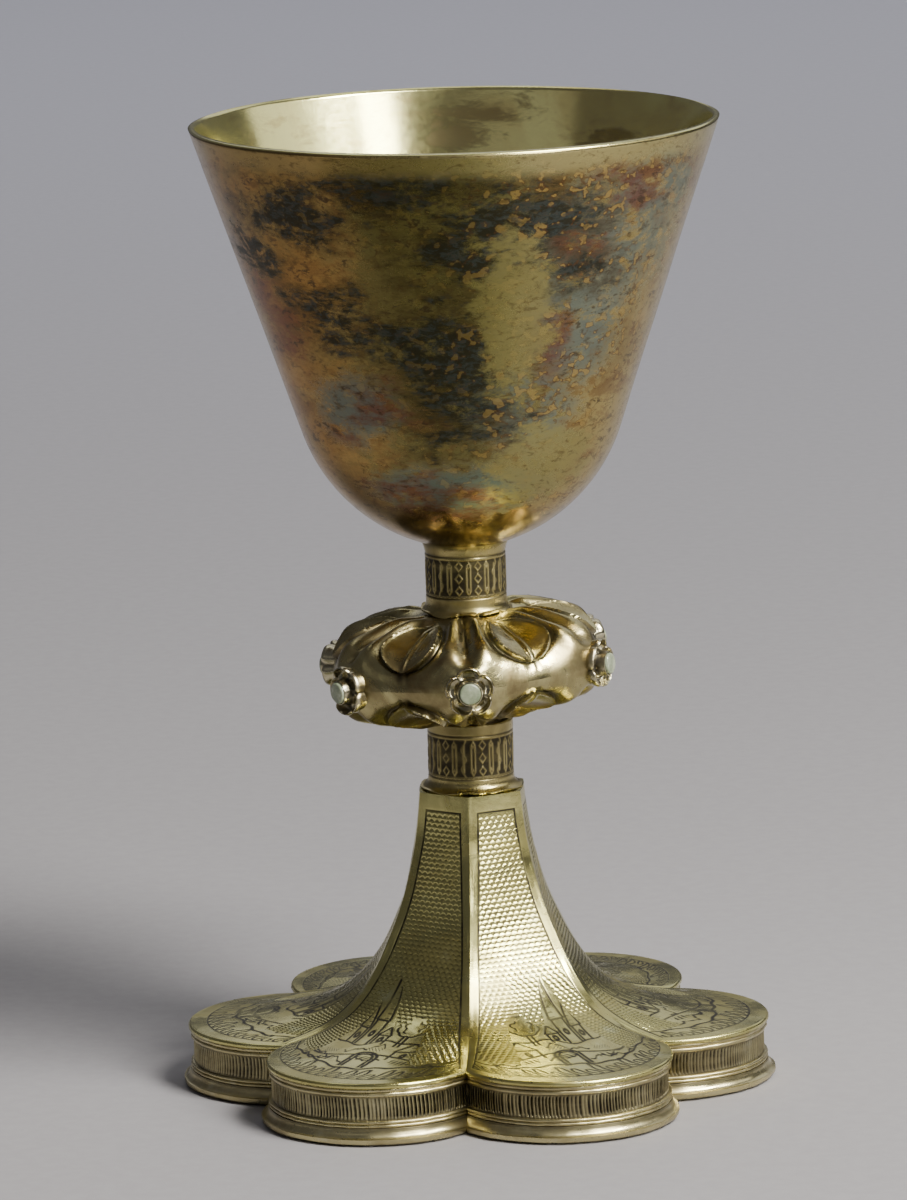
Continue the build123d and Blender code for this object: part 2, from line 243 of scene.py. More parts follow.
def make_bowl_outside():
    """Gilding under a patchy tarnish of olive, black, blue-grey and red-brown, with painted shade on the left
    and painted light on the right.
    """
    material, tree, shader, vector = start_material("tarnished gilt of bowl", 1.0)
    wide = noise(tree, vector, 38, 9, 0.68, (1, 1, 1.35), distortion=0.3)
    mottle = noise(tree, vector, 150, 9, 0.74, (0.8, 0.8, 1.4), (4, 0, 2), 0.3)
    smear = noise(tree, vector, 85, 9, 0.74, (0.6, 0.6, 1.7), (1, 7, 3), 0.2)
    fine = noise(tree, vector, 620, 6, 0.7, (0.7, 0.7, 1.4), (2, 0, 0), 0.5)
    both = combine(tree, "ADD", times(tree, wide, 0.5), times(tree, mottle, 0.5))
    waver = times(tree, combine(tree, "SUBTRACT", both, 0.5), 4.5)
    smears = times(tree, combine(tree, "SUBTRACT", smear, 0.5), 5.5)
    axes = tree.nodes.new("ShaderNodeSeparateXYZ")
    tree.links.new(vector, axes.inputs[0])
    # Copper-toned gilding on the left, yellower to the right; the left is also painted darker as painted
    # shade and the right paler as painted light.
    side = span(tree, axes.outputs["X"], -32 * MM, 22 * MM)
    colour = blend_colour(tree, side, SHADED_COPPER_GILT, LIT_YELLOW_GILT)
    colour = tint(tree, colour, CLOUDED_GILT, span(tree, wide, 0.45, 0.6), 0.7)
    colour = tint(tree, colour, BROWN_MOTTLE, span(tree, mottle, 0.5, 0.62), 0.6)
    colour = tint(tree, colour, BRIGHT_COPPER, span(tree, smear, 0.44, 0.36), 0.35)
    # Films of olive, blue-grey and red-brown, then the black.
    olive = span(tree, nearness(tree, vector, waver, OLIVE_PATCHES), 1.5, 0.7)
    colour = tint(tree, colour, OLIVE, olive, 0.74)
    blue = span(tree, nearness(tree, vector, waver, BLUE_PATCHES), 1.35, 0.7)
    blue = times(tree, blue, span(tree, mottle, 0.38, 0.52))
    colour = tint(tree, colour, BLUE_GREY, blue, 0.74)
    red = span(tree, nearness(tree, vector, waver, RED_PATCHES), 1.35, 0.6)
    red = times(tree, red, span(tree, smear, 0.42, 0.56))
    colour = tint(tree, colour, RED_BROWN, red, 0.75)
    black = nearness(tree, vector, smears, BLACK_PATCHES)
    halo = times(tree, span(tree, black, 1.7, 0.9), span(tree, mottle, 0.36, 0.56))
    core = times(tree, span(tree, black, 1.05, 0.5), span(tree, mottle, 0.36, 0.5))
    dark = blend_colour(tree, span(tree, fine, 0.45, 0.62), BLACK, BLUE_BLACK)
    colour = tint(tree, colour, BLACK_HALO, halo, 0.65)
    colour = tint(tree, colour, dark, core, 0.9)
    streaks = times(tree, span(tree, fine, 0.5, 0.58), span(tree, smear, 0.5, 0.6))
    colour = tint(tree, colour, BLACK_STREAK, streaks, 0.7)
    # Small ragged spots where the gilding shows again, edged with red-brown.
    blots = noise(tree, vector, 560, 2, 0.4, (0.9, 0.9, 1.15), (0, 3, 6), 0.15)
    to_right = span(tree, axes.outputs["X"], -10 * MM, 24 * MM, 0.25, 1.0)
    spot_area = times(tree, span(tree, wide, 0.41, 0.53), to_right)
    spot = times(tree, span(tree, blots, 0.6, 0.625), spot_area)
    ring = times(tree, span(tree, blots, 0.625, 0.6), span(tree, blots, 0.545, 0.58))
    colour = tint(tree, colour, SPOT_EDGE, times(tree, ring, spot_area), 0.6)
    colour = tint(tree, colour, SPOT_GILT, spot, 0.7)
    # Cleaner patches, the paler rim with painted shade on its left and painted light on its right, and fine
    # brown marks over all.
    clean = span(tree, nearness(tree, vector, waver, CLEAN_PATCHES), 1.25, 0.8)
    colour = tint(tree, colour, CLEAN_GILT, clean, 0.75)
    height = combine(tree, "ADD", axes.outputs["Z"], times(tree, waver, 1.5 * MM))
    # The rim colour is painted darker on the left as painted shade and paler on the right as painted light.
    rim_gilt_and_painted_light = blend_colour(tree, side, SHADED_RIM_COPPER, LIT_RIM_YELLOW)
    rim_mask = span(tree, height, RIM_HEIGHT - 6 * MM, RIM_HEIGHT - 2.5 * MM)
    colour = tint(tree, colour, rim_gilt_and_painted_light, rim_mask, 0.75)
    colour = tint(tree, colour, FINE_BROWN, span(tree, fine, 0.54, 0.64), 0.5)
    put(tree, shader.inputs["Base Color"], colour)
    patches = combine(tree, "MAXIMUM", combine(tree, "MAXIMUM", blue, core), times(tree, olive, 0.4))
    rough = combine(tree, "ADD", 0.17, times(tree, patches, 0.22))
    rough = combine(tree, "ADD", rough, times(tree, span(tree, fine, 0.3, 0.7), 0.08), True)
    put(tree, shader.inputs["Roughness"], rough)
    pits = combine(tree, "SUBTRACT", mottle, times(tree, fine, 0.2))
    add_bump(tree, shader, pits, 0.04 * MM)
    return material


def make_bowl_inside():
    """Cleaner, paler gilding with brown stains and wiping marks."""
    material, tree, shader, vector = start_material("pale gilt inside bowl", 1.0)
    wide = noise(tree, vector, 40, 6, 0.6, distortion=0.5)
    smear = noise(tree, vector, 120, 7, 0.66, (0.8, 0.8, 2.0), (5, 2, 0), 0.4)
    fine = noise(tree, vector, 800, 4, 0.6)
    colour = blend_colour(tree, span(tree, wide, 0.4, 0.65), PALE_GILT, PALE_BROWN)
    colour = tint(tree, colour, WIPED_BROWN, span(tree, smear, 0.52, 0.7), 0.5)
    smears = times(tree, combine(tree, "SUBTRACT", smear, 0.5), 4.5)
    stains = span(tree, nearness(tree, vector, smears, INSIDE_STAINS), 1.1, 0.4)
    colour = tint(tree, colour, STAIN_BROWN, stains, 0.7)
    put(tree, shader.inputs["Base Color"], colour)
    marks = times(tree, combine(tree, "MAXIMUM", stains, fine), 0.12)
    put(tree, shader.inputs["Roughness"], combine(tree, "ADD", 0.12, marks))
    add_bump(tree, shader, smear, 0.04 * MM)
    return material


bm = bmesh.new()
cone_foot = RIM_RADIUS - (RIM_HEIGHT - BOWL_ROUND_START) * tan(BOWL_TAPER)
round_x = cone_foot - BOWL_ROUND * cos(BOWL_TAPER)
round_z = BOWL_ROUND_START + BOWL_ROUND * sin(BOWL_TAPER)
rim = bm.verts.new((RIM_RADIUS, 0, RIM_HEIGHT))
foot = bm.verts.new((cone_foot, 0, BOWL_ROUND_START))
side = bm.edges.new((rim, foot))
bmesh.ops.spin(bm, geom=[foot], cent=(round_x, 0, round_z), axis=(0, 1, 0),
               angle=pi / 2 - BOWL_TAPER - 0.04, steps=40)
bmesh.ops.subdivide_edges(bm, edges=[side], cuts=70)
bmesh.ops.spin(bm, geom=bm.verts[:] + bm.edges[:], cent=(0, 0, 0), axis=(0, 0, 1),
               angle=2 * pi, steps=256, use_merge=True)
tidy(bm, 0.05 * MM)
for vert in bm.verts:
    out = Vector((vert.co.x, vert.co.y, 0)).normalized()
    depth = HAMMER_DEPTH * hand_waver(*vert.co, HAMMER_MARK)
    depth += 1.6 * HAMMER_DEPTH * hand_waver(*vert.co, SLOW_BEND)
    vert.co += out * depth
bowl = new_piece("bowl_sheet", bm, "chalice", make_bowl_inside(), "bowl")
bowl.data.materials.append(make_bowl_outside())
wall = bowl.modifiers.new("wall", "SOLIDIFY")
wall.thickness = BOWL_WALL
wall.offset = -1
wall.material_offset = 1

# ---------------------------------------------------------------------------------------------
# Tie rod: a plain rod that hangs from a disc under the bowl. Its lower end has a cut thread of
# 0.8 mm pitch for the nut. Its brass is dulled and stained like the old gilding of the rest.
ROD_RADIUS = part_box("tie_rod")[1].x
ROD_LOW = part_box("tie_rod")[0].z
ROD_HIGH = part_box("tie_rod")[1].z
THREAD_PITCH = 0.8 * MM
THREAD_DEPTH = 0.4 * MM
THREAD_TURNS = 13
THREAD_START = 0.3 * MM
THREAD_GAP = 0.03 * MM
TURN_STEPS = 32
# Dark colour of the dirt in the hollows, also used for painted shade where the mask holds it.
DIRT_AND_PAINTED_SHADE = (0.03, 0.026, 0.02, 1)


def make_aged_gilt():
    """Group: old gilding. Gives colour, roughness and height from the coordinates and a mask of
    hollows and painted shade, with tarnish clouds, dirt in the hollows and painted shade where the mask holds
    it, silver at worn spots and fine scratches."""
    group = bpy.data.node_groups.new("aged_gilt", "ShaderNodeTree")
    face = group.interface
    for name, kind in (("Vector", "Vector"), ("Hollows_and_painted_shade", "Float"), ("Gilt", "Color"), ("Tarnish", "Color"),
                       ("Worn", "Color"), ("Amount", "Float"), ("Smooth", "Float"), ("Dull", "Float")):
        face.new_socket(name, in_out="INPUT", socket_type="NodeSocket" + kind)
    for name, kind in (("Color", "Color"), ("Roughness", "Float"), ("Height", "Float")):
        face.new_socket(name, in_out="OUTPUT", socket_type="NodeSocket" + kind)
    given = group.nodes.new("NodeGroupInput").outputs
    result = group.nodes.new("NodeGroupOutput").inputs
    vector = given["Vector"]
    clouds = noise(group, vector, 70, 6, 0.6, distortion=0.6)
    streaks = noise(group, vector, 260, 4, 0.6, (0.4, 0.4, 1.2), (3, 1, 0))
    fine = noise(group, vector, 1500, 3, 0.6, offset=(0, 5, 0))
    worn = noise(group, vector, 130, 5, 0.6, offset=(9, 0, 4))
    tarnish = times(group, span(group, clouds, 0.38, 0.66), given["Amount"])
    tarnish = combine(group, "ADD", tarnish, times(group, span(group, streaks, 0.5, 0.8), 0.3), True)
    # Dirt in the hollows, and painted shade where the mask holds it.
    dirt = combine(group, "MULTIPLY", given["Hollows_and_painted_shade"], span(group, streaks, 0.2, 0.6, 0.65, 1.0), True)
    colour = tint(group, given["Gilt"], given["Worn"], span(group, worn, 0.55, 0.75), 0.7)
    colour = blend_colour(group, tarnish, colour, given["Tarnish"])
    colour = tint(group, colour, given["Tarnish"], span(group, fine, 0.62, 0.74), 0.45)
    group.links.new(blend_colour(group, dirt, colour, DIRT_AND_PAINTED_SHADE), result["Color"])
    dull = times(group, combine(group, "MAXIMUM", tarnish, dirt), given["Dull"])
    rough = combine(group, "ADD", given["Smooth"], dull)
    rough = combine(group, "ADD", rough, times(group, span(group, worn, 0.3, 0.7), 0.08), True)
    group.links.new(rough, result["Roughness"])
    height = combine(group, "ADD", times(group, clouds, 1.5), times(group, fine, 0.12))
    height = combine(group, "ADD", height, times(group, streaks, 0.25))
    group.links.new(height, result["Height"])
    return group


aged_gilt = make_aged_gilt()


def gilt_material(name, depth, **look):
    """Metal with the aged_gilt group. look sets the group's inputs, depth the height of its bumps."""
    material, tree, shader, vector = start_material(name, 1.0)
    finish = tree.nodes.new("ShaderNodeGroup")
    finish.node_tree = aged_gilt
    hollows_and_painted_shade = tree.nodes.new("ShaderNodeAttribute")
    hollows_and_painted_shade.attribute_name = "hollows_and_painted_shade"
    tree.links.new(vector, finish.inputs["Vector"])
    tree.links.new(hollows_and_painted_shade.outputs["Fac"], finish.inputs["Hollows_and_painted_shade"])
    for key, value in look.items():
        finish.inputs[key].default_value = value
    tree.links.new(finish.outputs["Color"], shader.inputs["Base Color"])
    tree.links.new(finish.outputs["Roughness"], shader.inputs["Roughness"])
    add_bump(tree, shader, finish.outputs["Height"], depth)
    return material


fixing = gilt_material("dull brass of fixings", 0.04 * MM, Gilt=(0.42, 0.34, 0.18, 1),
                       Tarnish=(0.14, 0.11, 0.07, 1), Worn=(0.6, 0.52, 0.34, 1),
                       Amount=0.7, Smooth=0.35, Dull=0.3)

bm = bmesh.new()
thread_low = ROD_LOW + THREAD_START
root_radius = ROD_RADIUS - 1.1 * THREAD_DEPTH
root = bm.verts.new((root_radius, 0, thread_low + THREAD_GAP))
crest = bm.verts.new((ROD_RADIUS, 0, thread_low + THREAD_PITCH / 2))
root_above = bm.verts.new((root_radius, 0, thread_low + THREAD_PITCH - THREAD_GAP))
for ends in ((root, crest), (crest, root_above), (root_above, root)):
    bm.edges.new(ends)
bmesh.ops.spin(bm, geom=bm.verts[:] + bm.edges[:], cent=(0, 0, 0), axis=(0, 0, 1),
               dvec=(0, 0, THREAD_PITCH / TURN_STEPS), angle=2 * pi * THREAD_TURNS,
               steps=TURN_STEPS * THREAD_TURNS)
bmesh.ops.holes_fill(bm, edges=[edge for edge in bm.edges if edge.is_boundary], sides=3)
thread_high = thread_low + THREAD_PITCH * (THREAD_TURNS + 1)
core = (ROD_LOW, thread_high, ROD_RADIUS - THREAD_DEPTH)
shank = (thread_high - THREAD_PITCH, ROD_HIGH, ROD_RADIUS)
for low, high, radius in (core, shank):
    made = bmesh.ops.create_cone(bm, cap_ends=True, segments=48, radius1=radius, radius2=radius,
                                 depth=high - low)
    bmesh.ops.translate(bm, verts=made["verts"], vec=(0, 0, (low + high) / 2))
tidy(bm)
new_piece("tie_rod_threaded", bm, "chalice", fixing, "tie_rod")

# ---------------------------------------------------------------------------------------------
# Rod head and core tube: the disc soldered under the bowl that holds the rod, and the tube round
# the rod that takes the pull of the nut. Both are hidden in the stem and keep their plain forms.


def finish_plain_node(name, finish):
    """Give a node of the frame that stays as it is its finish."""
    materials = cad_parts[name].data.materials
    materials.clear()
    materials.append(finish)


finish_plain_node("rod_head", fixing)
finish_plain_node("stem_tube", fixing)

# ---------------------------------------------------------------------------------------------
# Upper collar: a sleeve of gilt sheet between bowl and knop, 0.8 mm thick. Its top spreads into
# a bell under the bowl and its foot into a thin flange that is nicked and bent at the front. The
# engraved band has upright strokes and lozenges that stand out from a sunk, darkened ground.
BAND_SINK = 0.14 * MM
collar_gilt = gilt_material("old gilt of collars", 0.08 * MM, Gilt=(0.45, 0.38, 0.16, 1),
                            Tarnish=(0.16, 0.125, 0.055, 1), Worn=(0.58, 0.52, 0.28, 1),
                            Amount=0.65, Smooth=0.2, Dull=0.3)


def grid_surface(across, along, place):
    """A grid bent to a surface. place gives, for arrays u and w from 0 to 1, the points and a mask of
    the hollows and of any painted shade, which the grid keeps as its attribute "hollow"."""
    bm = bmesh.new()
    bmesh.ops.create_grid(bm, x_segments=across, y_segments=along, size=0.5)
    hollows_and_painted_shade = bm.verts.layers.float.new("hollows_and_painted_shade")
    u = np.array([vert.co.x for vert in bm.verts]) + 0.5
    w = np.array([vert.co.y for vert in bm.verts]) + 0.5
    points, sunk = place(u, w)
    for vert, point, depth in zip(bm.verts, points, sunk):
        vert.co = point
        vert[hollows_and_painted_shade] = depth
    tidy(bm)
    return bm


def rise(value, low, high):
    """0 below low, 1 above high and a smooth rise between, for arrays."""
    t = np.clip((value - low) / (high - low), 0, 1)
    return t * t * (3 - 2 * t)


def bell(value, width):
    """1 at 0, falling away to both sides."""
    return np.exp(-((value / width) ** 2))


def turned_points(radius, z, angle):
    """Points round the axis; the angle counts from the front towards the right."""
    return np.stack([radius * np.sin(angle), -radius * np.cos(angle), z], axis=1)


def profile_at(outline, w):
    """Radius and height along an outline whose points are evenly spaced in w."""
    rows = np.linspace(0, 1, len(outline))
    return np.interp(w, rows, [p[0] for p in outline]), np.interp(w, rows, [p[1] for p in outline])


def strokes_and_lozenges(angle, share, cells):
    """1 on the raised strokes of an engraved band, 0 on its sunk ground. share runs up the band."""
    turn = angle / (2 * pi) * cells
    cell = np.floor(turn)
    x = turn - cell - 0.5
    kind = cell % 4
    stroke = rise(share, 0.1, 0.16) * rise(-share, -0.9, -0.84)
    upright = np.maximum(bell(x - 0.2, 0.1), bell(x + 0.2, 0.1)) * stroke
    foot_and_head = bell(np.abs(x) + 2.2 * np.abs(np.abs(share - 0.5) - 0.36) - 0.16, 0.1)
    lozenge = bell(np.abs(x) + 0.5 * np.abs(((share * 3) % 1) - 0.5) * 2 - 0.36, 0.09)
    wave = bell(x - 0.22 * np.sin(share * 4 * pi + cell), 0.1)
    single = bell(x, 0.13) * stroke
    pairs = np.maximum(upright, foot_and_head)
    winding = np.maximum(single, 0.8 * wave)
    return np.select([kind == 0, kind == 1, kind == 2], [pairs, lozenge, pairs], winding)


def collar_piece(node, flange, side, flare, bore, band, cells, nicks):
    """An engraved sleeve: flange at the foot, straight side, and a bell at the top if flare is more
    than side. band is the lower and upper height of the engraved band, cells the number of
    patterns round it, and nicks how much the flange is bent."""
    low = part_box(node)[0].z
    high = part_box(node)[1].z
    curve = 1.7 * MM
    edge = 0.45 * MM
    arc = [radians(a) for a in range(0, 91, 15)]
    outline = [(bore, low), (flange - 0.15 * MM, low), (flange, low + 0.15 * MM), (flange, low + edge)]
    outline += [(flange - (flange - side) * sin(a), low + edge + curve * (1 - cos(a))) for a in arc]
    straight_low = low + edge + curve
    bell_height = 3.2 * MM
    straight_high = high - (bell_height if flare > side else 0.2 * MM)
    rows = 66
    outline += [(side, straight_low + (straight_high - straight_low) * i / rows) for i in range(1, rows)]
    if flare > side:
        outline += [(side + (flare - side) * (i / 8) ** 2, straight_high + bell_height * i / 8)
                    for i in range(9)]
    else:
        outline += [(side, straight_high), (side - 0.15 * MM, high)]
    outline += [(bore, outline[-1][1]), (bore, low)]

    def place(u, w):
        angle = 2 * pi * u
        radius, z = profile_at(outline, w)
        outside = (radius > side - 0.05 * MM) & (z > straight_low - 0.3 * MM) & (z < straight_high + 0.3 * MM)
        share = (z - band[0]) / (band[1] - band[0])
        in_band = rise(share, 0, 0.04) * rise(-share, -1, -0.96) * outside
        ground = in_band * (1 - strokes_and_lozenges(angle, share, cells))
        above = bell(z - band[1] - 0.5 * MM, 0.14 * MM)
        below = bell(z - band[0] + 0.4 * MM, 0.14 * MM)
        lines = outside * np.maximum(above, below)
        teeth = outside * bell(z - band[0] + (0.15 - 0.5 * np.abs((u * cells * 2) % 1 - 0.5)) * MM, 0.12 * MM)
        sunk = np.maximum(np.maximum(ground, lines), 0.8 * teeth)
        # Painted shadow under the bowl, with some grime: the top of the bell joins the mask of hollows and
        # takes its dark colour.
        painted_shadow_and_grime = 0.75 * rise(z, high - 1.8 * MM, high - 0.2 * MM) * (flare > side)
        radius = radius - BAND_SINK * sunk
        radius = radius + 0.06 * MM * hand_waver(np.cos(angle) * side, np.sin(angle) * side, z, 4 * MM)
        rim = rise(radius, side + 0.5 * MM, flange) * (z < low + 1.2 * MM)
        z = z + nicks * rim * 0.35 * MM * (np.sin(3 * angle + 0.4) + 0.6 * np.sin(7 * angle + 2))
        notch = bell(angle - 0.35, 0.07) + 0.8 * bell(angle - 2 * pi + 0.12, 0.05)
        notch = notch + 0.5 * bell(angle - 2.6, 0.06)
        radius = radius - nicks * rim * notch * 0.7 * MM
        return turned_points(radius, z, angle), np.maximum(0.95 * sunk, painted_shadow_and_grime)

    bm = grid_surface(420, len(outline) - 1, place)
    new_piece(node + "_engraved", bm, "chalice", collar_gilt, node)


collar_piece("upper_collar", flange=8.9 * MM, side=7.9 * MM, flare=9.3 * MM, bore=7.1 * MM,
             band=(97.6 * MM, 104.9 * MM), cells=26, nicks=1)

# ---------------------------------------------------------------------------------------------
# Knop: two domed shells of gilt silver, worked from both sides and soldered at a seam. Grooved
# lobes swell under the bosses, with pointed leaves between them. The lower shell is flatter at
# the front right, and the whole knop sits a little askew.
KNOP_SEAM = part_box("knop_upper_shell")[0].z
KNOP_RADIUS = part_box("knop_upper_shell")[1].x
KNOP_BORE = 7.0 * MM
KNOP_TURN = radians(4.5)
SIXTH = pi / 3
KNOP_TILT = radians(3.8)
KNOP_SHIFT = -0.3 * MM
KNOP_WALL = 0.8 * MM
SWELL_HEIGHT = 1.1 * MM
GROOVE_DEPTH = 1.7 * MM
FLUTE_HEIGHT = 0.85 * MM
LEAF_HALF_WIDTH = 5.9 * MM
LEAF_EDGE_HEIGHT = 0.45 * MM
MOAT_DEPTH = 0.35 * MM
knop_gilt = gilt_material("old gilt of knop", 0.18 * MM, Gilt=(0.54, 0.485, 0.235, 1),
                          Tarnish=(0.19, 0.14, 0.065, 1), Worn=(0.68, 0.65, 0.39, 1),
                          Amount=0.85, Smooth=0.14, Dull=0.2)


def knop_meridian(half_height, t):
    """Radius and height over the seam: t is 0 at the collar, 1 at the seam."""
    bend = np.clip(t, 0, 1) * pi / 2
    return KNOP_BORE + (KNOP_RADIUS - KNOP_BORE) * np.sin(bend) ** 0.8, half_height * np.cos(bend) ** 0.75


def knop_relief(angle, t, radius):
    """How far the worked sheet stands out, and a mask of its hollows."""
    from_boss = np.abs((angle - KNOP_TURN + SIXTH / 2) % SIXTH - SIXTH / 2)
    to_leaf = SIXTH / 2 - from_boss
    from_leaf = to_leaf * radius
    chord = 2.7 * MM * np.sin(pi * np.clip(t, 0, 1) ** 0.8) + 1.0 * MM * rise(t, 0.5, 1)
    valley = chord * bell(to_leaf, 0.32)
    swell = SWELL_HEIGHT * bell(from_boss, 0.22) * rise(t, 0.3, 0.7)
    groove = GROOVE_DEPTH * bell(from_boss, 0.065) * rise(t, 0.0, 0.1) * rise(-t, -0.88, -0.68)
    flute = FLUTE_HEIGHT * bell(from_boss - 0.17, 0.07) * rise(t, 0.02, 0.15) * rise(-t, -0.92, -0.5)
    share = np.clip((t - 0.07) / (0.84 - 0.07), 0, 1)
    half = LEAF_HALF_WIDTH * np.power(np.sin(pi * share ** 1.2), 0.7)
    inside = rise(half - from_leaf, -0.25 * MM, 0.35 * MM) * (half > 0.3 * MM)
    across = np.clip(from_leaf / np.maximum(half, 0.3 * MM), 0, 1)
    scoop = 0.45 * MM + 0.95 * MM * across ** 1.4 + 0.45 * MM * bell(from_leaf, 0.4 * MM)
    leaf = inside * scoop * rise(share, 0.02, 0.2)
    edge_ends = rise(share, 0.02, 0.12) * rise(-share, -1.0, -0.96)
    edge = LEAF_EDGE_HEIGHT * bell(from_leaf - half, 0.4 * MM) * edge_ends
    moat = bell(from_leaf - half - 0.9 * MM, 0.8 * MM) * rise(share, 0.02, 0.2) * rise(-t, -1.0, -0.8)
    relief = swell + flute + leaf + edge - valley - groove - MOAT_DEPTH * moat
    crown = 0.85 * bell(from_boss, 0.04) * rise(t, 0.0, 0.08) * rise(-t, -0.8, -0.5)
    dark = np.clip(crown + 0.9 * moat + 0.12 * inside * (1 - across), 0, 1)
    return relief, dark


def tilted(points):
    """The knop sits a little askew on its seats: its right-hand side stands higher."""
    x = KNOP_SHIFT + points[:, 0] * cos(KNOP_TILT) - (points[:, 2] - KNOP_SEAM) * sin(KNOP_TILT)
    z = points[:, 0] * sin(KNOP_TILT) + (points[:, 2] - KNOP_SEAM) * cos(KNOP_TILT)
    return np.stack([x, points[:, 1], KNOP_SEAM + z], axis=1)


def knop_half(node, sign, end_z, flatten):
    """One shell: sign is 1 above the seam and -1 below it, flatten the share of its height that it
    loses at the front right."""
    half_height = abs(end_z - KNOP_SEAM) + 0.1 * MM
    rows = 100
    back = 8

    def place(u, w):
        angle = 2 * pi * u
        step = w * (rows + back)
        outer = step <= rows + 0.01
        t = np.where(outer, step / rows, 1 - (step - rows) / back)
        radius, height = knop_meridian(half_height, t)
        height = height * (1 - flatten * rise(t, 0, 0.25) * (0.5 + 0.5 * np.cos(angle - radians(50))))
        relief, dark = knop_relief(angle, t, radius)
        lean = np.clip(t, 0, 1) * pi / 2
        dents = 0.22 * MM * hand_waver(radius * np.cos(angle), radius * np.sin(angle),
                                       height * rise(-t, -1, -0.8), 5 * MM)
        sunk_back = KNOP_WALL * rise(t, -0.01, 0.1) + 3.2 * MM * rise(t, 0, 0.3) * rise(-t, -1, -0.9)
        push = np.where(outer, relief + dents, -sunk_back + np.minimum(relief, 0) * rise(t, 0.9, 1))
        radius = radius + push * np.sin(lean)
        height = height + push * np.cos(lean)
        return tilted(turned_points(radius, KNOP_SEAM + sign * height, angle)), dark * outer

    bm = grid_surface(576, rows + back, place)
    new_piece(node + "_worked", bm, "chalice", knop_gilt, node)


knop_half("knop_upper_shell", 1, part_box("upper_collar")[0].z, 0)
knop_half("knop_lower_shell", -1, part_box("lower_collar")[1].z, 0.2)

# ---------------------------------------------------------------------------------------------
# Bosses: six cast flowers soldered on the seam. Each has five cupped petals round a thin collet
# that is rubbed over the edge of its stone. No two gaps between them are quite the same.
BOSS_TURNS = (0, 4, -1, 1, 5, 4)
PETALS = 5
boss_gilt = gilt_material("rubbed gilt of bosses", 0.1 * MM, Gilt=(0.60, 0.55, 0.36, 1),
                          Tarnish=(0.17, 0.13, 0.08, 1), Worn=(0.76, 0.75, 0.64, 1),
                          Amount=0.45, Smooth=0.15, Dull=0.3)


def boss_axes(index):
    """Unit vectors of a boss: outwards and along the seam."""
    angle = KNOP_TURN + index * SIXTH + radians(BOSS_TURNS[index])
    return Vector((sin(angle), -cos(angle), 0)), Vector((cos(angle), sin(angle), 0))


def make_flower(index):
    """A flower turned from one outline of (radius, distance from the knop's axis) in mm."""
    out, along = boss_axes(index)
    outline = [(1.2, 28.0), (2.05, 28.2), (2.1, 29.9), (2.2, 30.1), (2.35, 30.05), (2.45, 29.4), (2.55, 28.6)]
    outline += [(2.6 + 2.1 * i / 16, 28.5) for i in range(1, 17)]
    outline += [(4.85, 28.35), (4.9, 28.0), (4.7, 27.2), (4.4, 26.2), (4.5, 25.0)]

    def place(u, w):
        angle = 2 * pi * u
        radius, depth = profile_at(outline, w)
        petal = np.abs((u * PETALS + 0.25 + 0.15 * index) % 1 - 0.5) * 2
        on_petal = rise(radius, 2.5, 2.8)
        scallop = 1 - 0.17 * on_petal * petal ** 3
        cup = rise(radius, 2.6, 3.1) * rise(-radius, -4.7, -3.9) * (1 - petal ** 2)
        rim = bell(radius - 4.5, 0.3) * (1 - 0.6 * petal ** 4)
        depth = depth - 1.3 * cup + 0.55 * rim * on_petal - 0.5 * petal ** 6 * rise(radius, 2.6, 3.4)
        radius = radius * scallop
        wobble = 0.12 * np.sin(3 * angle + 1.7 * index) * on_petal
        points = np.outer(depth + wobble + 0.4, out) + np.outer(radius * np.cos(angle), along)
        points[:, 2] += radius * np.sin(angle)
        points *= MM
        points[:, 2] += KNOP_SEAM
        dark = 0.35 * cup + 0.8 * petal ** 8 * on_petal + bell(radius - 2.6, 0.15)
        return tilted(points), np.clip(dark, 0, 1)

    bm = grid_surface(144, len(outline) - 1, place)
    node = f"knop_rosette_{index + 1}"
    new_piece(f"knop_rosette_flower_{index + 1}", bm, "chalice", boss_gilt, node)


for index in range(6):
    make_flower(index)

# ---------------------------------------------------------------------------------------------
# Stones: flat discs of cloudy pale green glass over a foil, with a ground edge. Each lies in its
# collet, whose rim holds it.
STONE_RADIUS = 2.05 * MM
STONE_THICKNESS = 2 * MM
STONE_OUT = 30 * MM
DEEP_GREEN = (0.20, 0.24, 0.14, 1)
MILKY_GREEN = (0.36, 0.40, 0.27, 1)
FOIL_BROWN = (0.25, 0.25, 0.17, 1)


def make_stone_glass():
    """Cloudy pale green glass over a foil."""
    material, tree, shader, vector = start_material("cloudy green glass")
    cloud = noise(tree, vector, 420, 5, 0.6)
    fine = noise(tree, vector, 2200, 3, 0.6)
    colour = blend_colour(tree, span(tree, cloud, 0.35, 0.65), DEEP_GREEN, MILKY_GREEN)
    colour = tint(tree, colour, FOIL_BROWN, span(tree, fine, 0.58, 0.7), 0.4)
    put(tree, shader.inputs["Base Color"], colour)
    put(tree, shader.inputs["Roughness"], span(tree, cloud, 0.3, 0.7, 0.12, 0.3))
    shader.inputs["IOR"].default_value = 1.52
    shader.inputs["Coat Weight"].default_value = 0.3
    add_bump(tree, shader, fine, 0.03 * MM)
    return material


stone_glass = make_stone_glass()


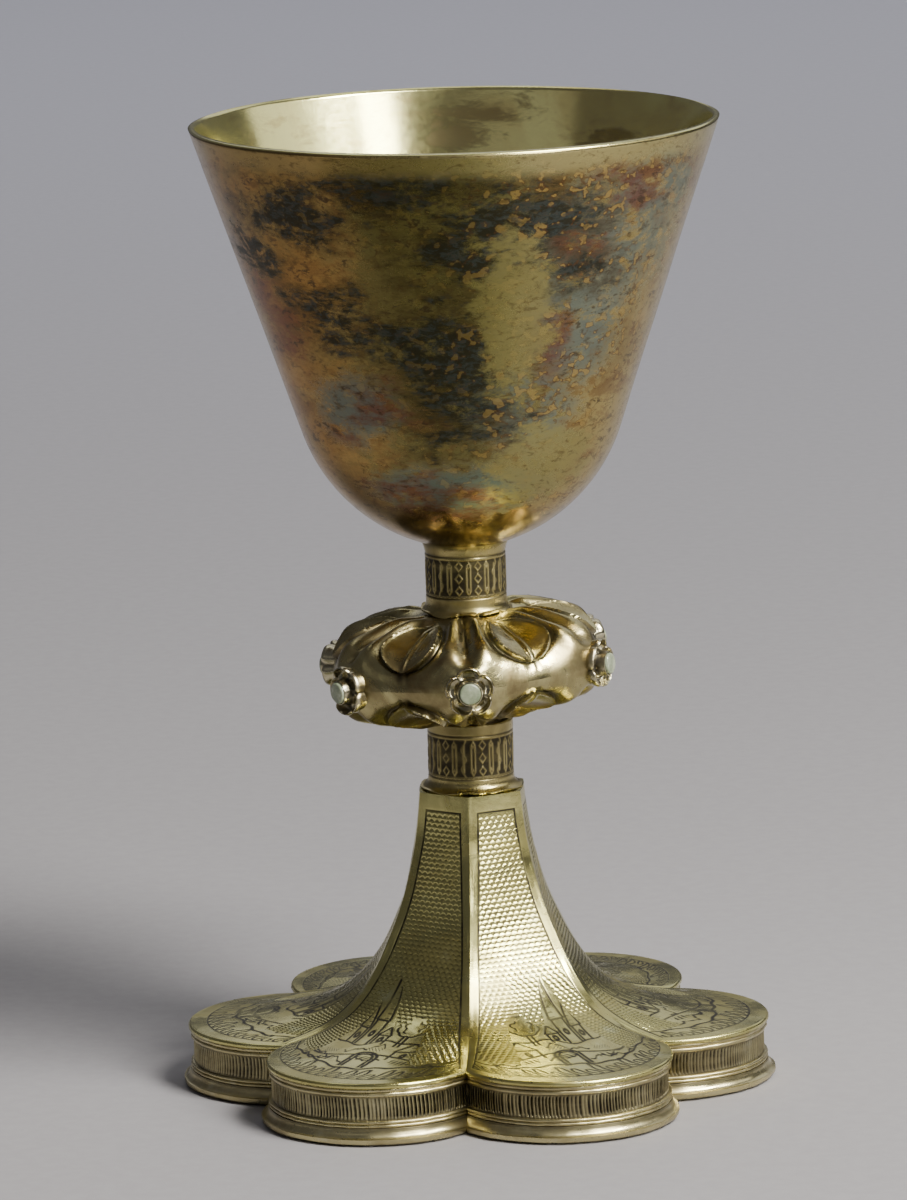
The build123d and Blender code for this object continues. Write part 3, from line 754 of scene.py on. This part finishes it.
def make_stone(index):
    """A disc with a ground edge, turned and tilted into its boss."""
    out = boss_axes(index)[0]
    bm = bmesh.new()
    bmesh.ops.create_cone(bm, cap_ends=True, segments=40, radius1=STONE_RADIUS, radius2=STONE_RADIUS,
                          depth=STONE_THICKNESS)
    face_edges = [e for e in bm.edges if all(v.co.z > 0 for v in e.verts)]
    bmesh.ops.bevel(bm, geom=face_edges, offset=0.4 * MM, segments=4, profile=0.5, affect="EDGES",
                    material=-1)
    turn = Vector((0, 0, 1)).rotation_difference(out)
    bmesh.ops.rotate(bm, verts=bm.verts[:], cent=(0, 0, 0), matrix=turn.to_matrix())
    bmesh.ops.translate(bm, verts=bm.verts[:], vec=out * STONE_OUT)
    tilt = Matrix.Rotation(-KNOP_TILT, 3, "Y")
    bmesh.ops.rotate(bm, verts=bm.verts[:], cent=(0, 0, 0), matrix=tilt)
    bmesh.ops.translate(bm, verts=bm.verts[:], vec=(KNOP_SHIFT, 0, KNOP_SEAM))
    bmesh.ops.recalc_face_normals(bm, faces=bm.faces[:])
    node = f"knop_stone_{index + 1}"
    new_piece(f"knop_stone_glass_{index + 1}", bm, "chalice", stone_glass, node)


for index in range(6):
    make_stone(index)

# ---------------------------------------------------------------------------------------------
# Lower collar: the second engraved sleeve, between knop and foot, with a wider flange that covers
# the open end of the foot's neck. It is made like the upper one, without the bell.
collar_piece("lower_collar", flange=9.9 * MM, side=8.4 * MM, flare=8.4 * MM, bore=7.6 * MM,
             band=(61.9 * MM, 69.6 * MM), cells=28, nicks=0.5)

# ---------------------------------------------------------------------------------------------
# Foot: six panels of gilt sheet, 1 mm thick, soldered at the ridges. They fall from a six-sided
# neck and spread into six round lobes. Each is engraved: a border line, a ground of staggered
# crescents, and below them hills, pointed roofs, an arch and grass.
LOBE_CENTRE = 35.7 * MM
LOBE_RADIUS = 21.3 * MM
LIP_Z = 12.2 * MM
SHEET = 1.0 * MM
CRESCENT_DEPTH = 0.19 * MM
LINE_DEPTH = 0.05 * MM
CRESCENT_WIDTH = 1.3
CRESCENT_STEP = 0.95
BORDER_TO_RIDGE = 1.9
BORDER_TO_LIP = 3.1
BORDER_TO_NECK = 3.3
FACE_ROWS = 381
BACK_ROWS = 25
foot_gilt = gilt_material("old gilt of foot", 0.06 * MM, Gilt=(0.62, 0.58, 0.23, 1),
                          Tarnish=(0.36, 0.30, 0.10, 1), Worn=(0.73, 0.76, 0.46, 1),
                          Amount=0.55, Smooth=0.13, Dull=0.3)
# Height, radius at the ridges and radius at the middle of the panels, from the neck down.
FOOT_SECTIONS = (
    (58.7, 11.3, 10.15),
    (50.0, 12.4, 11.1),
    (41.0, 14.6, 12.9),
    (35.0, 16.8, 14.5),
    (30.0, 19.2, 16.5),
    (26.2, 21.2, 18.6),
    (23.0, 23.2, 21.0),
    (19.7, 25.7, 24.3),
    (17.0, 28.5, 28.5),
    (15.0, 31.8, 34.2),
    (13.5, 35.6, 42.0),
    (12.6, 39.6, 50.6),
)


def cusp_radius(growth):
    """Distance from the axis to the corner between two lobes of the outline."""
    half = LOBE_CENTRE * 0.5
    return LOBE_CENTRE * cos(pi / 6) + np.sqrt((LOBE_RADIUS + growth) ** 2 - half ** 2)


def smooth_through(points, count):
    """A line through points, spaced evenly along its length (Catmull-Rom)."""
    p = np.array(points, float)
    p = np.vstack([2 * p[0] - p[1], p, 2 * p[-1] - p[-2]])
    dense = []
    for a, b, c, d in zip(p[:-3], p[1:-2], p[2:-1], p[3:]):
        t = np.linspace(0, 1, 40, endpoint=False)[:, None]
        bend = 2 * a - 5 * b + 4 * c - d
        twist = 3 * b - a - 3 * c + d
        dense.append(0.5 * (2 * b + (c - a) * t + bend * t ** 2 + twist * t ** 3))
    dense = np.vstack(dense + [p[-2:-1]])
    steps = np.linalg.norm(np.diff(dense[:, [0, 2]], axis=0), axis=1)
    length = np.concatenate([[0], np.cumsum(steps)])
    even = np.linspace(0, length[-1], count)
    return np.stack([np.interp(even, length, dense[:, i]) for i in range(3)], axis=1), length[-1]


def lip_row(growth, z):
    """Height, ridge radius and middle radius of a row at the rounded lobes."""
    return z, float(cusp_radius(growth)), LOBE_CENTRE + LOBE_RADIUS + growth


def panel_rows():
    """Rows of (height, ridge radius, middle radius) round a panel's thickness, the engraved ones
    first, and the length of the engraved face."""
    top = [(z * MM, ridge * MM, middle * MM) for z, ridge, middle in FOOT_SECTIONS]
    edge = lip_row(-0.5 * MM, LIP_Z)
    face, length = smooth_through(top + [edge], FACE_ROWS)
    turn = np.linspace(0.3, pi / 2, 6)
    lip = [lip_row((0.65 * sin(a) - 0.5) * MM, LIP_Z + (0.05 - 0.55 * (1 - cos(a))) * MM) for a in turn]
    lip += [lip_row(0.15 * MM, LIP_Z - 0.8 * MM), lip_row(0, LIP_Z - SHEET),
            lip_row(-1.7 * MM, LIP_Z - SHEET)]
    back = smooth_through(top + [edge], BACK_ROWS)[0]
    slope = np.gradient(back, axis=0)
    steep = np.hypot(slope[:, 0], slope[:, 2])
    inward = SHEET * slope[:, 0] / steep
    back += np.stack([-SHEET * slope[:, 2] / steep, inward, inward], axis=1)
    back[0, 0] = face[0, 0]
    inner = back[:-2][::-1]
    return np.vstack([face, lip, inner, face[:1]]), length


PANEL_ROWS, FACE_LENGTH = panel_rows()


def arc_between_ridges(ridge, middle, u):
    """Distance out along a panel's axis and sideways from it, for u from -1 to 1."""
    half = ridge * 0.5
    sag = middle - ridge * cos(pi / 6)
    opening = 2 * np.arctan(sag / half)
    opening = np.where(np.abs(opening) < 0.001, 0.001, opening)
    bend = half / np.sin(opening)
    return middle - bend * (1 - np.cos(u * opening)), bend * np.sin(u * opening), np.abs(bend * opening)


def crescents(x, v):
    """Staggered crescents in close rows; x and v in millimetres."""
    row = np.floor(v / CRESCENT_STEP)
    rest = v / CRESCENT_STEP - row
    cell = (x / CRESCENT_WIDTH + 0.5 * row + 0.06 * np.sin(row * 1.7)) % 1 - 0.5
    return bell(rest - 0.3 - 1.7 * cell ** 2, 0.17) * (1 - 0.5 * np.abs(cell) * 2)


def drawn_line(distance, width=0.28):
    """1 in the middle of an engraved line, from the distance to it and its half width in mm."""
    return bell(distance, width)


def building(x, v, place, half, low, eaves, peak):
    """Outline of a plain gabled building or spire."""
    off = np.abs(x - place)
    walls = drawn_line(off - half) * (v > low) * (v < eaves)
    above = (v > eaves) * (v < peak)
    slope = off - (half + 0.3) * (peak - v) / (peak - eaves)
    roof = drawn_line(slope * min(1, 3 * (peak - eaves) / 10)) * above
    sill = drawn_line(v - eaves) * (off < half + 0.3)
    window = drawn_line(np.hypot(x - place, (v - (low + eaves) / 2) * 0.5) - 0.4) * (half > 0.9)
    under_roof = (off < half * (peak - v) / (peak - eaves)) * (v > eaves) * (x > place)
    tiles = 0.6 * bell(((v - eaves) % 1.3) - 0.65, 0.15) * under_roof
    return np.maximum.reduce([walls, roof, sill, window, tiles])


def varied(x, index):
    """Mirror and shift the drawing, so that no two neighbouring panels are alike."""
    return x * (1 if index % 2 else -1) + 0.8 * sin(1.7 * index)


def leafy_tree(x, v, shift):
    """A scalloped crown with a line inside it, on a short trunk."""
    around = np.arctan2(v - 28, x - 4.9)
    crown = np.hypot(x - 4.9, v - 28)
    outline = drawn_line(crown - 3.0 - 0.3 * np.abs(np.sin(4 * around + shift)))
    within = 0.8 * drawn_line(crown - 1.9 - 0.35 * np.sin(5 * around)) * (np.sin(2 * around + 1) > -0.4)
    trunk = drawn_line(np.abs(x - 4.9) - 0.45) * (v > 20.5) * (v < 25)
    return np.maximum.reduce([outline, within, trunk])


def grass(x, v, shift, hill):
    """Tall blades over the lip, and tufts below the line of a hill."""
    lean = (x - 0.45 * v + 0.4 * np.sin(v * 0.9)) / 2.3
    tall = 4.6 + 1.6 * np.sin(np.floor(lean) * 2.3 + shift)
    part = np.clip((v - 3.2) / tall, 0, 1)
    blade = np.abs((lean % 1 - 0.5) * 2.3) - 0.75 * np.power(np.sin(pi * part), 0.7)
    blades = drawn_line(blade, 0.3) * (v > 3.3) * (part < 0.98)
    tuft = ((x - 0.55 * v) / 1.15 + 0.3 * np.sin(v)) % 1 - 0.5
    clump = bell(v - hill + 1.9, 1.1) * (np.sin(x * 0.8 + shift) > 0.1)
    return np.maximum(blades, drawn_line(tuft * 1.15, 0.32) * clump)


def landscape(x, v, index):
    """Engraved hills, roofs, an arch, a tree and grass. x runs across, v up from the lip, in mm."""
    x = varied(x, index)
    shift = 1.3 * index
    far = 21 + 1.7 * np.sin(x / 3.3 + shift) + 0.6 * np.sin(x / 1.2 + 2 * shift)
    middle = 14.5 + 2.0 * np.sin(x / 4.6 + 1.9 * shift + 1)
    near = 9.4 + 0.8 * np.sin(x / 3.4 + 0.7 * shift) + 0.3 * np.sin(x / 0.9 + shift)
    wide = 0.28 + 0.1 * rise(-v, -16, -8)
    lines = [drawn_line(v - far), drawn_line(v - middle, wide), drawn_line(v - near, wide)]
    lines.append(building(x, v, -3.0, 1.3, 20, 29, 41 + index % 3))
    lines.append(building(x, v, -6.0, 1.0, 20, 26, 35 - index % 2))
    lines.append(building(x, v, 0.2, 1.2, 21, 24.5, 27.5))
    lines.append(building(x, v, 8.6, 2.4, 14.5, 18.5, 22.5))
    arch = np.hypot(x - 1.6, np.maximum(v - 14.6, 0))
    lines.append(np.maximum(drawn_line(arch - 2.6, 0.36), drawn_line(arch - 1.8, 0.3)) * (v > 9.6))
    lines.append(leafy_tree(x, v, shift))
    lines.append(grass(x, v, shift, middle))
    crag = 2.2 * np.abs((x / 4.1 + 0.3 * shift) % 1 - 0.5) + 0.8 * np.abs((x / 1.7) % 1 - 0.5)
    lines.append(drawn_line(v - far + 1.4 + 1.6 * crag) * (np.cos(x * 0.45 + shift) > -0.2))
    lines.append(drawn_line(v - near - 2.2 - 1.3 * crag, wide) * (x < -1.5))
    lines.append(drawn_line(v - middle + 3.4 - 1.2 * crag, wide) * (np.sin(x * 0.5 + 2 * shift) > 0))
    hatch = ((x + 0.8 * v) % 0.75) - 0.38
    shaded = bell(v - middle - 2.3, 1.2) * (np.sin(x * 0.7 + 2 * shift) > 0.35)
    lines.append(0.7 * bell(hatch, 0.13) * shaded)
    return np.maximum.reduce(lines)


def skyline(x, index):
    """Height over the lip where the ground of crescents begins."""
    x = varied(x, index)
    peaks = 16 * bell(x + 3.6, 3.2) + 8.5 * bell(x - 4.9, 3.4)
    return 11 + 12 * rise(-np.abs(x), -13, -7.5) + peaks * rise(-np.abs(x), -12, -9)


def make_panel(index):
    """One panel from ridge to ridge, with its engraving sunk into the face."""
    axis = pi / 6 + index * pi / 3
    out = np.array((sin(axis), -cos(axis), 0))
    across = np.array((cos(axis), sin(axis), 0))
    last = len(PANEL_ROWS) - 1

    def place(u, w):
        row = w * last
        z, ridge, middle = [np.interp(row, np.arange(last + 1), PANEL_ROWS[:, i]) for i in range(3)]
        side = 2 * u - 1
        along, aside, half_width = arc_between_ridges(ridge, middle, side)
        on_face = row <= FACE_ROWS
        from_neck = np.clip(row / (FACE_ROWS - 1), 0, 1) * FACE_LENGTH / MM
        up = FACE_LENGTH / MM - from_neck
        spread = (middle - ridge) / MM
        up = up - np.clip(spread, 0, 20) * side ** 2 * 0.06
        from_ridge = half_width * (1 - np.abs(side)) / MM
        x = half_width * side / MM
        border = np.minimum(up - BORDER_TO_LIP, from_neck - BORDER_TO_NECK)
        border = np.minimum(from_ridge - BORDER_TO_RIDGE, border)
        inside = rise(border, 0.1, 0.3)
        sky = rise(up - skyline(x, index), 0, 0.5)
        ground = inside * sky * crescents(x, from_neck)
        drawn = np.maximum(bell(border, 0.22), inside * (1 - sky) * landscape(x, up, index))
        on_face = on_face * rise(from_ridge, 0.2, 0.8)
        cut = np.maximum(0.75 * ground, rise(drawn, 0.15, 0.6)) * on_face
        dents = 0.1 * MM * hand_waver(aside, z, along, 7 * MM)
        depth = (CRESCENT_DEPTH * ground + LINE_DEPTH * drawn + dents) * on_face
        along = along - depth * np.where(z > 17 * MM, 1, 0.35)
        z = z - depth * rise(-z, -19 * MM, -15 * MM)
        points = np.outer(along, out) + np.outer(aside, across)
        points[:, 2] = z
        return points, cut

    bm = grid_surface(226, last, place)
    rim = [edge for edge in bm.edges if edge.is_boundary]
    for edge in rim:
        edge.smooth = False
    bmesh.ops.holes_fill(bm, edges=rim, sides=0)
    bmesh.ops.recalc_face_normals(bm, faces=bm.faces[:])
    new_piece(f"foot_panel_{index + 1}", bm, "chalice", foot_gilt, "foot_shell")


for index in range(6):
    make_panel(index)

# ---------------------------------------------------------------------------------------------
# Foot edge: a plain upright strip under the panels, which carries the mouldings. It shows only
# from below. Like the other bands it is bent to the six lobes and soldered.
WALL_OUTSIDE = -1.7
WALL_INSIDE = -2.4
WALL_HEIGHTS = [0.3, 4, 8, 11.2]
edge_gilt = gilt_material("old gilt of foot edge", 0.08 * MM, Gilt=(0.58, 0.52, 0.28, 1),
                          Tarnish=(0.20, 0.15, 0.075, 1), Worn=(0.70, 0.68, 0.48, 1),
                          Amount=0.55, Smooth=0.2, Dull=0.25)


def lobed_band(name, node, section, columns, relief=None):
    """A band round the six lobes. The section is a closed loop of (growth, height) in mm, where
    growth is how far a point lies outside the lobes of the lip. relief pushes it in or out."""
    loop = section + section[:1]

    def place(u, w):
        growth, z = profile_at([(g * MM, h * MM) for g, h in loop], w)
        lobe = np.minimum(np.floor(u * 6 + 1e-6), 5)
        share = 2 * (u * 6 - lobe) - 1
        sunk = u * 0
        if relief:
            push, sunk = relief(share, lobe, growth, z)
            growth = growth + push
        cusp = cusp_radius(growth)
        opening = np.arctan2(cusp * 0.5, cusp * cos(pi / 6) - LOBE_CENTRE)
        along = LOBE_CENTRE + (LOBE_RADIUS + growth) * np.cos(share * opening)
        aside = (LOBE_RADIUS + growth) * np.sin(share * opening)
        axis = pi / 6 + lobe * pi / 3
        x = along * np.sin(axis) + aside * np.cos(axis)
        y = -along * np.cos(axis) + aside * np.sin(axis)
        return np.stack([x, y, z], axis=1), sunk

    bm = grid_surface(6 * columns, len(loop) - 1, place)
    new_piece(name, bm, "chalice", edge_gilt, node)


wall_section = [(WALL_OUTSIDE, z) for z in WALL_HEIGHTS] + [(WALL_INSIDE, z) for z in WALL_HEIGHTS[::-1]]
lobed_band("foot_wall_strip", "foot_wall", wall_section, 60)

# ---------------------------------------------------------------------------------------------
# Upper moulding: two drawn wires of gilt silver, one over the other under the lip. They are bent
# round the lobes, soldered on, and rubbed flat in places.


def worn_wire(share, lobe, growth, z):
    """Small dents and flats on the outward side of a wire."""
    waver = np.sin(share * 9 + 1.7 * lobe) * np.sin(share * 23 + lobe) + 0.5 * np.sin(share * 51 + 2 * lobe)
    outer = rise(growth, -1.2 * MM, -0.5 * MM)
    return 0.07 * MM * waver * outer, rise(-growth, 0.42 * MM, 0.7 * MM) * (growth > -1.5 * MM)


def wire_section(low, high, growth):
    """Two round wires stacked between two heights, and a flat back."""
    size = (high - low) / 2
    turn = np.linspace(0, pi, 7)
    section = []
    for middle in (low + size / 2, high - size / 2):
        section += [(growth - 0.35 + 0.35 * sin(a), middle - size / 2 * cos(a)) for a in turn]
    return section + [(-1.6, high), (-1.6, low)]


upper_wires = wire_section(9.45, 11.25, -0.25)
lobed_band("foot_wires_upper", "foot_upper_moulding", upper_wires, 110, worn_wire)

# ---------------------------------------------------------------------------------------------
# Ribbed band: a milled strip of gilt silver with upright ribs about 0.75 mm apart, uneven in
# depth, and dark dirt between the ribs.
RIBS = 88
RIB_LOW = 4.7
RIB_HIGH = 9.5
RIB_DEPTH = 0.4 * MM


def ribs(share, lobe, growth, z):
    """Gaps between the ribs of one lobe, and the dirt in them."""
    turn = (share + 1) / 2 * RIBS + 0.35 * np.sin(share * 17 + lobe) + 0.12 * np.sin(z / MM + lobe)
    count = np.floor(turn)
    beat = 0.75 + 0.25 * np.sin(count * 2.4 + 1.9 * lobe) + 0.2 * np.sin(count * 0.31 + lobe)
    gap = bell((turn % 1) - 0.5, 0.27) * np.clip(beat, 0.15, 1)
    z = z / MM
    height = rise(z, RIB_LOW + 0.2, RIB_LOW + 0.8) * rise(-z, 0.15 - RIB_HIGH, 0.7 - RIB_HIGH)
    outer = growth > -1.3 * MM
    edges = bell(z - RIB_LOW - 0.15, 0.25) + bell(z - RIB_HIGH + 0.1, 0.25)
    dirt = np.clip((0.28 + gap * 1.6) * height + edges, 0, 1)
    return -RIB_DEPTH * gap * height * outer, dirt * outer


rib_section = [(-0.78, z) for z in np.linspace(RIB_LOW, RIB_HIGH, 17)] + [(-1.6, RIB_HIGH), (-1.6, RIB_LOW)]
lobed_band("foot_ribs", "foot_rib_band", rib_section, 7 * RIBS, ribs)

# ---------------------------------------------------------------------------------------------
# Lower moulding: two thinner wires of gilt silver over the base, made and fixed like the upper
# ones.
lower_wires = wire_section(3.4, 4.8, -0.15)
lobed_band("foot_wires_lower", "foot_lower_moulding", lower_wires, 110, worn_wire)

# ---------------------------------------------------------------------------------------------
# Base: a strip that sweeps out in a hollow curve to a thick edge, on which the chalice stands.
# The edge is rounded by wear and a little dented.


def standing_wear(share, lobe, growth, z):
    """Wear of the standing edge, and the dirt under the lower wires."""
    waver = np.sin(share * 5 + 2.1 * lobe) + 0.7 * np.sin(share * 13 + lobe)
    waver = waver + 0.4 * np.sin(share * 37 + 3 * lobe)
    dent = 0.09 * MM * waver * rise(growth, -1.5 * MM, 0.5 * MM)
    return dent, 0.7 * bell(z - 3.2 * MM, 0.3 * MM)


hollow_curve = [(1.2 - 1.3 * cos(a), 3.4 - 1.9 * sin(a)) for a in np.linspace(0.1, pi / 2, 8)]
rounded_edge = [(0.75 + 0.45 * cos(a), 1.05 - 0.6 * sin(a)) for a in np.linspace(0, pi / 2, 5)]
underside = [(0.35, 0.12), (-0.1, 0), (-1.2, 0), (-2.4, 0), (-2.4, 1.2), (-2.4, 2.4), (-1.6, 3.4)]
base_section = [(-0.15, 3.4)] + hollow_curve + rounded_edge + underside
lobed_band("foot_base_strip", "foot_base_flange", base_section, 120, standing_wear)

# ---------------------------------------------------------------------------------------------
# Neck plate: a gilt disc soldered into the top of the foot's neck, for the washer to bear on. It
# keeps its plain form and has the finish of the strips.
finish_plain_node("neck_plate", edge_gilt)

# ---------------------------------------------------------------------------------------------
# Washer: a plain brass ring under the plate in the neck, its edges softly broken. It spreads the
# pull of the nut and slides down the rod with it.


def ring_piece(name, body, node, outer, inner, sides=0):
    """A ring with chamfered edges; with sides it is a nut whose corners are cut by a cone."""
    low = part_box(node)[0].z
    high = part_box(node)[1].z
    cut = 0.45 * MM if sides else 0.12 * MM
    ease = 0.15 * MM
    corners = [(inner + ease, low), (outer - cut, low), (outer, low + cut * 0.6), (outer, high - cut * 0.6),
               (outer - cut, high), (inner + ease, high), (inner, high - ease), (inner, low + ease),
               (inner + ease, low)]
    outline = []
    for a, b in zip(corners, corners[1:]):
        outline += [(a[0] + (b[0] - a[0]) * i / 6, a[1] + (b[1] - a[1]) * i / 6) for i in range(6)]
    outline.append(corners[-1])

    def place(u, w):
        angle = 2 * pi * u
        radius, z = profile_at(outline, w)
        if sides:
            corner = (angle + pi / sides) % (2 * pi / sides) - pi / sides
            flat = outer * cos(pi / sides) / np.cos(corner)
            radius = np.minimum(radius, np.where(radius > (outer + inner) / 2, flat, radius))
        return turned_points(radius, z, angle), u * 0

    bm = grid_surface(192, len(outline) - 1, place)
    new_piece(name, bm, body, fixing, node)


ring_piece("washer_ring", "washer", "washer", outer=6 * MM, inner=2.3 * MM)

# ---------------------------------------------------------------------------------------------
# Retaining nut: a hexagon of brass, 8 mm across flats, with the corners cut by a cone. Turned up
# the rod's thread, it draws bowl, stem and foot together.
ring_piece("nut_hexagon", "nut", "retaining_nut", outer=4 * MM / cos(pi / 6), inner=2.02 * MM, sides=6)

# ---------------------------------------------------------------------------------------------
# Stage: a paper floor painted paler with distance as painted light, a dark card that only reflections
# see, soft lamps, one of which only reflections see, a dim even sky, and the camera.
NEAR_PAPER = ((0.320, 0.306, 0.312, 1), (0.338, 0.324, 0.330, 1))
PAINTED_LIGHT_FAR_PAPER = ((0.71, 0.71, 0.80, 1), (0.73, 0.73, 0.82, 1))
CARD_GREENS = ((0.115, 0.12, 0.08, 1), (0.14, 0.145, 0.1, 1))
CARD_SIZE = (0.42, 0.75, 1)
CARD_PLACE = (-0.09, -0.525, 0.004)
LENS_MM = 227.55
CAMERA_DISTANCE = 1.45
CAMERA_HEIGHT = 0.3765
CAMERA_TO_RIGHT = radians(3.5)
CAMERA_TURN = radians(3.6)
CAMERA_PITCH = radians(10.96)
CAMERA_ROLL = radians(-1.6)


def stage_sheet(name, bm, finish):
    """A flat sheet that stands round the chalice and belongs to no body."""
    mesh = bpy.data.meshes.new(name)
    bm.to_mesh(mesh)
    bm.free()
    mesh.materials.append(finish)
    sheet = bpy.data.objects.new(name, mesh)
    bpy.context.scene.collection.objects.link(sheet)
    return sheet


floor_paint, tree, shader, vector = start_material("grey paper")
grain = span(tree, noise(tree, vector, 300, 3, 0.6), 0.3, 0.7)
near = blend_colour(tree, grain, *NEAR_PAPER)
far = blend_colour(tree, grain, *PAINTED_LIGHT_FAR_PAPER)
# The far floor is painted paler, as painted light.
reach = span(tree, vector_step(tree, "LENGTH", vector), 0.2, 2.2)
put(tree, shader.inputs["Base Color"], blend_colour(tree, reach, near, far))
shader.inputs["Roughness"].default_value = 0.85
bm = bmesh.new()
bmesh.ops.create_grid(bm, x_segments=8, y_segments=8, size=3)
stage_sheet("floor", bm, floor_paint)

card_paint, tree, shader, vector = start_material("dark card")
put(tree, shader.inputs["Base Color"], blend_colour(tree, noise(tree, vector, 20), *CARD_GREENS))
bm = bmesh.new()
bmesh.ops.create_grid(bm, x_segments=1, y_segments=1, size=0.5)
bmesh.ops.scale(bm, verts=bm.verts[:], vec=CARD_SIZE)
bmesh.ops.translate(bm, verts=bm.verts[:], vec=CARD_PLACE)
card = stage_sheet("dark_card", bm, card_paint)
card.visible_camera = False
card.visible_diffuse = False
card.visible_shadow = False


def area_lamp(name, azimuth, elevation, distance, wide, tall, power, colour):
    """A soft box that faces the chalice; azimuth counts from the front towards the right."""
    lamp = bpy.data.lights.new(name, "AREA")
    lamp.shape = "RECTANGLE"
    lamp.size = wide
    lamp.size_y = tall
    lamp.energy = power
    lamp.color = colour
    holder = bpy.data.objects.new(name, lamp)
    bpy.context.scene.collection.objects.link(holder)
    a = radians(azimuth)
    e = radians(elevation)
    offset = Vector((sin(a) * cos(e), -cos(a) * cos(e), sin(e)))
    holder.location = Vector((0, 0, 0.1)) + offset * distance
    holder.rotation_euler = offset.to_track_quat("Z", "Y").to_euler()
    return holder


area_lamp("key", 42, 26, 1.4, 0.36, 0.42, 12, (1.0, 0.98, 0.94))
area_lamp("main", 54, 52, 1.35, 0.45, 0.45, 28, (1.0, 0.98, 0.94))
glint = area_lamp("glint", 67, 40, 1.35, 0.28, 0.28, 24, (1.0, 0.98, 0.92))
glint.visible_diffuse = False
area_lamp("window", 86, 28, 1.4, 1.4, 0.5, 2.3, (1.0, 0.98, 0.95))
area_lamp("front", -30, 28, 1.5, 1.4, 0.4, 0.3, (1.0, 0.99, 0.97))
area_lamp("back", 166, 33, 2.8, 3.0, 1.4, 9.5, (0.98, 0.98, 1.0))
area_lamp("ceiling", 175, 68, 2.6, 2.4, 1.4, 12, (0.95, 0.97, 1.0))

world = bpy.data.worlds.new("studio")
world.use_nodes = True
sky = world.node_tree.nodes["Background"].inputs
sky["Color"].default_value = (0.50, 0.50, 0.55, 1)
sky["Strength"].default_value = 0.2
bpy.context.scene.world = world

camera_data = bpy.data.cameras.new("camera")
camera = bpy.data.objects.new("camera", camera_data)
bpy.context.scene.collection.objects.link(camera)
bpy.context.scene.camera = camera
camera_data.lens = LENS_MM
camera_data.clip_start = 0.01
camera.location = (CAMERA_DISTANCE * sin(CAMERA_TO_RIGHT), -CAMERA_DISTANCE * cos(CAMERA_TO_RIGHT),
                   CAMERA_HEIGHT)
level = cos(CAMERA_PITCH)
forward = Vector((-sin(CAMERA_TURN) * level, cos(CAMERA_TURN) * level, -sin(CAMERA_PITCH)))
camera.rotation_mode = "QUATERNION"
camera.rotation_quaternion = forward.to_track_quat("-Z", "Y") @ Quaternion((0, 0, 1), CAMERA_ROLL)

bpy.context.view_layer.update()
